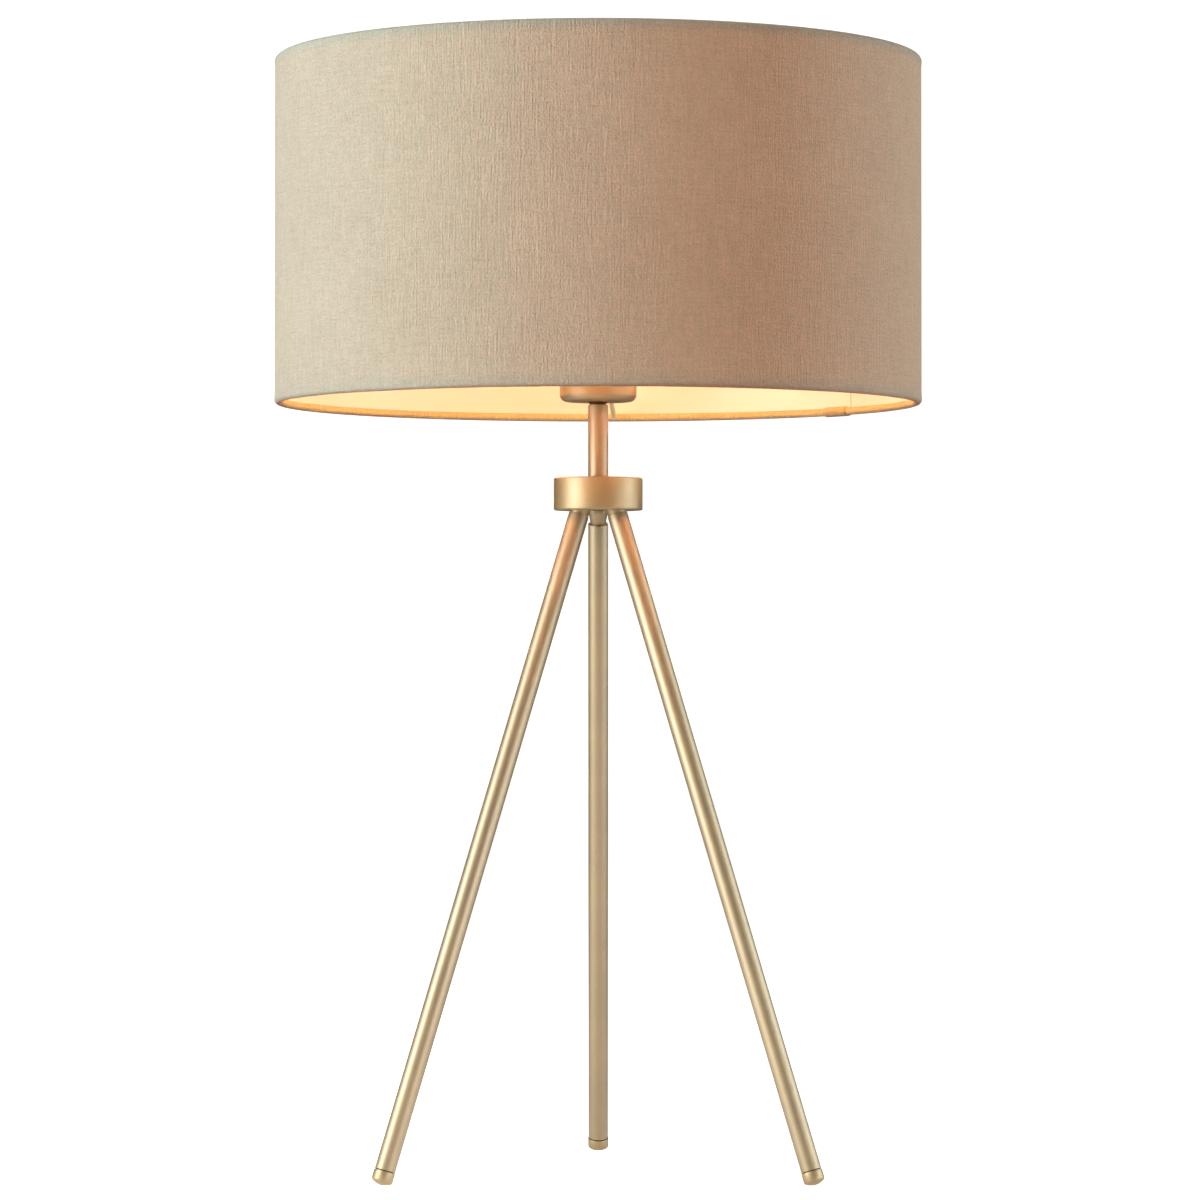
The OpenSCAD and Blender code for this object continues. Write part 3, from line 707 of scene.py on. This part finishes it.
sleeve_crest = 19.7 * MM
sleeve_root = 18.9 * MM
sleeve_in_cup = 18.1 * MM
sleeve_hollow = 16.35 * MM
sleeve_pitch = 2.5 * MM
barrel_bore = 13.35 * MM
barrel_out = 15.05 * MM
barrel_low = sleeve_low.z + 4 * MM
mouth = 0.8 * MM
rim_low = sleeve_high.z - 2 * MM
sleeve = turn("holder_sleeve", [
    (sleeve_hollow, sleeve_low.z), (sleeve_in_cup, sleeve_low.z), (sleeve_in_cup, cup_high.z),
    (sleeve_crest - 0.2 * MM, cup_high.z), (sleeve_crest, cup_high.z + 0.2 * MM),
    (sleeve_crest, cup_high.z + 0.6 * MM), (sleeve_root, cup_high.z + 0.9 * MM),
    (sleeve_root, sleeve_high.z - SOFT), (sleeve_root - SOFT, sleeve_high.z),
    (barrel_bore + mouth, sleeve_high.z), (barrel_bore, sleeve_high.z - mouth), (barrel_bore, barrel_low),
    (barrel_out, barrel_low), (barrel_out, rim_low), (sleeve_hollow, rim_low)])
join(sleeve, thread("sleeve_thread", sleeve_root - 0.15 * MM, sleeve_crest, sleeve_pitch,
                    cup_high.z + 1.2 * MM, 10))
settle(sleeve, "base", white_plastic, "holder_sleeve")

RIBS = 18
RIB_R = 1 * MM
RIB_SHORT = 0.2 * MM  # how far a rib stops short of the ring's faces
RING_EDGE = 0.4 * MM


def ribbed_ring(name, bore):
    """A ring with rounded rims and half-round grip ribs, in the place of the CAD node of its name."""
    low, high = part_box(name)
    body_r = high.x - RIB_R
    ring = turn(name, [(bore, low.z + RING_EDGE), (bore + RING_EDGE, low.z)]
                + rounded_side(body_r, low.z, high.z, SOFT)
                + [(bore + RING_EDGE, high.z), (bore, high.z - RING_EDGE)], steps=144)
    rib_low = low.z + RIB_SHORT
    rib_high = high.z - RIB_SHORT
    rib_outline = [(0, rib_low)] + rounded_side(RIB_R, rib_low, rib_high, SOFT) + [(0, rib_high)]
    rib = turn(f"{name}_rib", rib_outline, steps=20)
    move(rib, Matrix.Translation((body_r, 0, 0)))
    ribs = [swing(again(rib, f"{name}_rib_{i}"), math.tau * i / RIBS) for i in range(1, RIBS)]
    return join(ring, rib, *ribs)


lower_ring = ribbed_ring("lower_shade_ring", 19.8 * MM)
settle(lower_ring, "base", white_plastic, "lower_shade_ring")
upper_ring = ribbed_ring("upper_shade_ring", 19.95 * MM)
settle(upper_ring, "upper_ring", white_plastic, "upper_shade_ring")

# ---- shade ----

WALL_IN = 0.2 * MM  # the wall stands this far inside the rolled hems
WALL_STEPS = 16
WALL_GAP = 3.2 * MM  # from a wire's height to the straight wall's end
TUCK = 235  # degrees that the cloth goes round each wire
LAP_TUCK = TUCK + 22  # the same for the flap over the seam
wall_r = wire_ring_r + HEM_R - WALL_IN
first_z = bottom_wire_z + WALL_GAP
last_z = top_wire_z - WALL_GAP
wall = [(wall_r, first_z + (last_z - first_z) * i / WALL_STEPS) for i in range(WALL_STEPS + 1)]


def cloth_outline(out, tuck):
    """Upwards: round the bottom wire, up the wall and round the top wire, so far outside the cover."""
    return (arc((wire_ring_r, bottom_wire_z), HEM_R + out, -tuck, 0, 20)
            + [(r + out, z) for r, z in wall]
            + arc((wire_ring_r, top_wire_z), HEM_R + out, 0, tuck, 20))


def sheet_thickness(piece, thickness):
    """Gives a sheet its thickness, on the side away from its faces' normals."""
    solid = piece.modifiers.new("thickness", "SOLIDIFY")
    solid.thickness = thickness
    solid.offset = -1
    apply_all(piece)


def unwrap_cloth(piece):
    """As unwrap_round, with the height run on round the rolled hems to the cloth's tucked edges."""
    unwrap_round(piece, SHADE_R)
    uv = piece.data.uv_layers[RUN].data
    for loop in piece.data.loops:
        x, y, z = piece.data.vertices[loop.vertex_index].co
        away = math.hypot(x, y) - wire_ring_r
        for wire_z, way in ((top_wire_z, 1), (bottom_wire_z, -1)):
            past = (z - wire_z) * way
            if past > 0 or (away < 0 and past > -3 * HEM_R):
                roll = math.atan2(past, away)
                roll += math.tau if roll < 0 else 0
                uv[loop.index].uv.y = wire_z + way * HEM_R * roll


cover = turn("linen_cover", cloth_outline(0, TUCK), steps=256, closed=False, degrees=60)
sheet_thickness(cover, FABRIC_T)
unwrap_cloth(cover)
settle(cover, "shade", shade_linen, "shade_fabric")

seam_out = FABRIC_T + 0.05 * MM
seam_angle = SEAM_W / SHADE_R
seam_flap = turn("seam_flap", cloth_outline(seam_out, LAP_TUCK), steps=8, closed=False, sweep=seam_angle,
                 degrees=60)
sheet_thickness(seam_flap, FABRIC_T)
swing(seam_flap, SEAM_AT + seam_angle / 2)
unwrap_cloth(seam_flap)
settle(seam_flap, "shade", lapped_linen, "shade_seam")


def liner_outline(radius):
    """A thin upright wall of the liner's height, inside a radius."""
    return [(radius, liner_low.z), (radius, liner_high.z), (radius - LINER_T, liner_high.z),
            (radius - LINER_T, liner_low.z)]


liner = turn("shade_liner", liner_outline(liner_high.x), steps=256)
lap_r = liner_high.x - LINER_T - 0.05 * MM
liner_lap = turn("liner_lap", liner_outline(lap_r), steps=6, sweep=LINER_LAP)
swing(liner_lap, LINER_EDGE_AT)
join(liner, liner_lap)
unwrap_round(liner, SHADE_R)
settle(liner, "shade", cream_liner, "shade_liner")


def bead(name, place, wide, tall):
    """A small smooth lump of weld, widest across the upright axis."""
    lump = turn(name, arc((0, 0), wide, -90, 90, 9), steps=16)
    return move(lump, Matrix.Translation(place) @ Matrix.Diagonal((1, 1, tall / wide, 1)))


ARM_R = 1.5 * MM
ring_r = centre_high.x
arm_start = Vector((ring_r, 0, (centre_low.z + centre_high.z) / 2))
arm_end = Vector((wire_ring_r, 0, bottom_wire_z))
arm_line = arm_end - arm_start
arm_long = arm_line.length
arm_turn = math.pi / 2 - math.atan2(arm_line.z, arm_line.x)
near_ring = arm_start + arm_line * (0.6 * MM / arm_long)
near_wire = arm_start + arm_line * ((arm_long - 2.1 * MM) / arm_long)
for side, angle in ARMS.items():
    arm = turn(f"{side}_spider_arm", [
        (0, 0.3 * MM)] + arc((ARM_R - 0.4 * MM, 0.7 * MM), 0.4 * MM, -90, 0, 4)
        + arc((ARM_R - 0.6 * MM, arm_long - 2.2 * MM), 0.6 * MM, 0, 90, 4)
        + [(0, arm_long - 1.6 * MM)], steps=24)
    move(arm, Matrix.Translation(arm_start) @ Matrix.Rotation(arm_turn, 4, "Y"))
    join(arm, bead(f"{side}_ring_weld", near_ring, 2.1 * MM, 1.5 * MM),
         bead(f"{side}_wire_weld", near_wire, 1.5 * MM, 1.9 * MM))
    swing(arm, math.radians(angle))
    settle(arm, "shade", enamel, f"spider_arm_{side}")

ring_bore = 21 * MM
bore_edge = 0.3 * MM
centre_ring = turn("spider_centre_ring", [
    (ring_bore + bore_edge, centre_low.z), (ring_r - SOFT, centre_low.z)]
    + rounded_side(ring_r, centre_low.z, centre_high.z, SOFT)[1:]
    + [(ring_bore + bore_edge, centre_high.z), (ring_bore, centre_high.z - bore_edge),
       (ring_bore, centre_low.z + bore_edge)], steps=128)
settle(centre_ring, "shade", enamel, "spider_centre_ring")

# ---- bulb ----

cap_r = cap_high.x
cap_root = 12.2 * MM
cap_inner = 11.8 * MM
cap_pitch = 25.4 / 7 * MM  # seven turns to the inch
bulb_cap = turn("bulb_cap", [
    (11.2 * MM, cap_low.z + 0.6 * MM), (11.9 * MM, cap_low.z), (cap_root, cap_low.z + 1.2 * MM),
    (cap_root, cap_high.z - 3.2 * MM), (12.9 * MM, cap_high.z - 2.6 * MM), (cap_r, cap_high.z - 0.6 * MM),
    (cap_r - 0.2 * MM, cap_high.z), (cap_r - 0.5 * MM, cap_high.z), (12.4 * MM, cap_high.z - 2.4 * MM),
    (cap_inner, cap_high.z - 3.0 * MM), (cap_inner, cap_low.z + 1.2 * MM)])
join(bulb_cap, thread("bulb_thread", cap_root - 0.1 * MM, 12.95 * MM, cap_pitch, cap_low.z + 1.6 * MM, 4))
settle(bulb_cap, "bulb", bright_metal, "bulb_cap")

globe_r = glass_high.x
globe_z = glass_high.z - globe_r
neck_r = 11.8 * MM
shoulder_r = 13.6 * MM
flare_z = cap_high.z + 2 * MM
rise = globe_z - flare_z
flare_r = (shoulder_r ** 2 + rise ** 2 - globe_r ** 2) / (2 * (globe_r - shoulder_r))
flare_x = shoulder_r + flare_r
touch = math.degrees(math.atan2(rise, flare_x))
glass = turn("bulb_glass", [
    (0, glass_low.z), (neck_r - 0.3 * MM, glass_low.z), (neck_r, glass_low.z + 0.3 * MM),
    (neck_r, cap_high.z), (shoulder_r - SOFT, cap_high.z)]
    + arc((shoulder_r - SOFT, cap_high.z + SOFT), SOFT, -90, 0, 5)[1:]
    + arc((flare_x, flare_z), flare_r, 180, 180 - touch, 12)
    + arc((0, globe_z), globe_r, -touch, 90, 36)[1:])
settle(glass, "bulb", opal, "bulb_glass")

tip_r = tip_high.x
tip_edge = 0.9 * MM
tip = turn("bulb_tip", [(0, tip_low.z), (tip_r - 1.1 * MM, tip_low.z)]
           + arc((tip_r - tip_edge, tip_low.z + tip_edge), tip_edge, -75, 0, 6)
           + [(tip_r, tip_high.z), (0, tip_high.z)], steps=48)
settle(tip, "bulb_contact", bright_metal, "bulb_tip")

insulator_r = insulator_high.x
insulator_top = insulator_high.z
insulator = turn("bulb_insulator", [
    (0, insulator_low.z), (tip_r, insulator_low.z), (tip_r + 0.5 * MM, insulator_low.z + 0.3 * MM),
    (insulator_r - 2.2 * MM, insulator_top - 1.3 * MM), (insulator_r - 0.3 * MM, insulator_top - 0.7 * MM),
    (insulator_r, insulator_top - 0.3 * MM), (insulator_r, insulator_top), (0, insulator_top)], steps=64)
settle(insulator, "bulb", black_glass, "bulb_insulator")

# ---- CAD nodes that keep their own shape ----

KEPT = {
    "toothed_washer": zinc, "locknut": brass, "terminal_block": white_plastic, "terminal_screws": brass,
    "centre_contact": brass, "side_contacts": brass, "shade_top_ring": white_wire,
    "shade_bottom_ring": white_wire,
}
for node, finish in KEPT.items():
    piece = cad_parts[node]
    piece.data.materials.clear()
    piece.data.materials.append(finish)

# ---- floor and light ----

FLOOR_R = 8.0
FLOOR_SEEN = (0.86, 0.86, 0.85, 1)
FLOOR_UNSEEN = (0.1, 0.1, 0.1, 1)  # for light that bounces off it onto the lamp
WHITE = (1, 1, 1, 1)
KEY_WAY = (-0.87, -0.5, 0)  # on the floor, towards the key light

put_down()
bpy.ops.mesh.primitive_circle_add(vertices=64, radius=FLOOR_R, fill_type="NGON", location=ORIGIN)
floor = bpy.context.object
floor.name = "floor"
floor_finish, floor_tree, floor_shader = new_finish("pale_floor")
rays = put(floor_tree, "ShaderNodeLightPath").outputs
place = own_place(floor_tree)
away = length(floor_tree, place)
to_key = put(floor_tree, "ShaderNodeVectorMath", {"operation": "DOT_PRODUCT"}, Vector=place)
to_key.inputs[1].default_value = KEY_WAY
wash = times(floor_tree, spread(floor_tree, away, 0.2, 0.9, 0.72, 1.05), rays["Is Camera Ray"])
# painted light: for reflected rays the floor glows, brighter near the lamp and towards the key light and
# weaker behind the lamp, as the lit floor that the metal mirrors
lit_part = times(floor_tree, spread(floor_tree, away, 0.4, 1.0, 0.9, 0.1),
                 spread(floor_tree, to_key.outputs["Value"], -0.15, 0.15, 0.6, 1.1))
in_front = spread(floor_tree, split(floor_tree, place)["Y"], 0.08, 0.35, 1.0, 0.3)
lit_part = times(floor_tree, lit_part, in_front)
mirrored = times(floor_tree, rays["Is Glossy Ray"], lit_part)
give(floor_tree, floor_shader, Roughness=0.9, Emission_Color=WHITE,
     Base_Color=blend_colours(floor_tree, rays["Is Camera Ray"], FLOOR_UNSEEN, FLOOR_SEEN),
     Emission_Strength=add(floor_tree, wash, mirrored))
floor.data.materials.append(floor_finish)

world = bpy.data.worlds.new("studio")
world.use_nodes = True
bpy.context.scene.world = world
sky = world.node_tree
room = sky.nodes["Background"]
give(sky, room, Color=(1.0, 0.85, 0.70, 1), Strength=0.03)
backdrop = put(sky, "ShaderNodeBackground", Color=WHITE, Strength=1.15)
both = put(sky, "ShaderNodeMixShader", Fac=put(sky, "ShaderNodeLightPath").outputs["Is Camera Ray"])
sky.links.new(room.outputs[0], both.inputs[1])
sky.links.new(backdrop.outputs[0], both.inputs[2])
sky.links.new(both.outputs[0], sky.nodes["World Output"].inputs["Surface"])


def softbox(name, around, away, up, width, height, power, tint, aim_z=0.3):
    """An upright area light that faces the lamp. Around is in degrees from the front, to the right."""
    light = bpy.data.lights.new(name, "AREA")
    light.shape = "RECTANGLE"
    light.size = width
    light.size_y = height
    light.energy = power
    light.color = tint
    lamp = bpy.data.objects.new(name, light)
    bpy.context.scene.collection.objects.link(lamp)
    turn_by = math.radians(around)
    lamp.location = (away * math.sin(turn_by), -away * math.cos(turn_by), up)
    aim = Vector((0, 0, aim_z)) - lamp.location
    lamp.rotation_euler = aim.to_track_quat("-Z", "Y").to_euler()
    return lamp


softbox("key", around=-64, away=2.0, up=0.5, width=0.95, height=2.2, power=76, tint=(0.745, 0.92, 1.05))
softbox("left_fill", around=-52, away=2.4, up=0.5, width=0.6, height=2.2, power=14, tint=(1.0, 0.80, 0.35))
softbox("right_box", around=87, away=2.0, up=0.5, width=1.2, height=2.2, power=40, tint=(0.75, 0.95, 1.03))
leg_light = softbox("leg_light", around=54, away=1.6, up=0.1, width=0.8, height=0.2, power=0.26,
                    tint=(0.9, 0.95, 1.0), aim_z=0.12)
leg_light.data.spread = math.radians(20)
softbox("rear_fill", around=180, away=1.2, up=2.0, width=1.2, height=1.2, power=8, tint=(1.0, 0.98, 0.95))
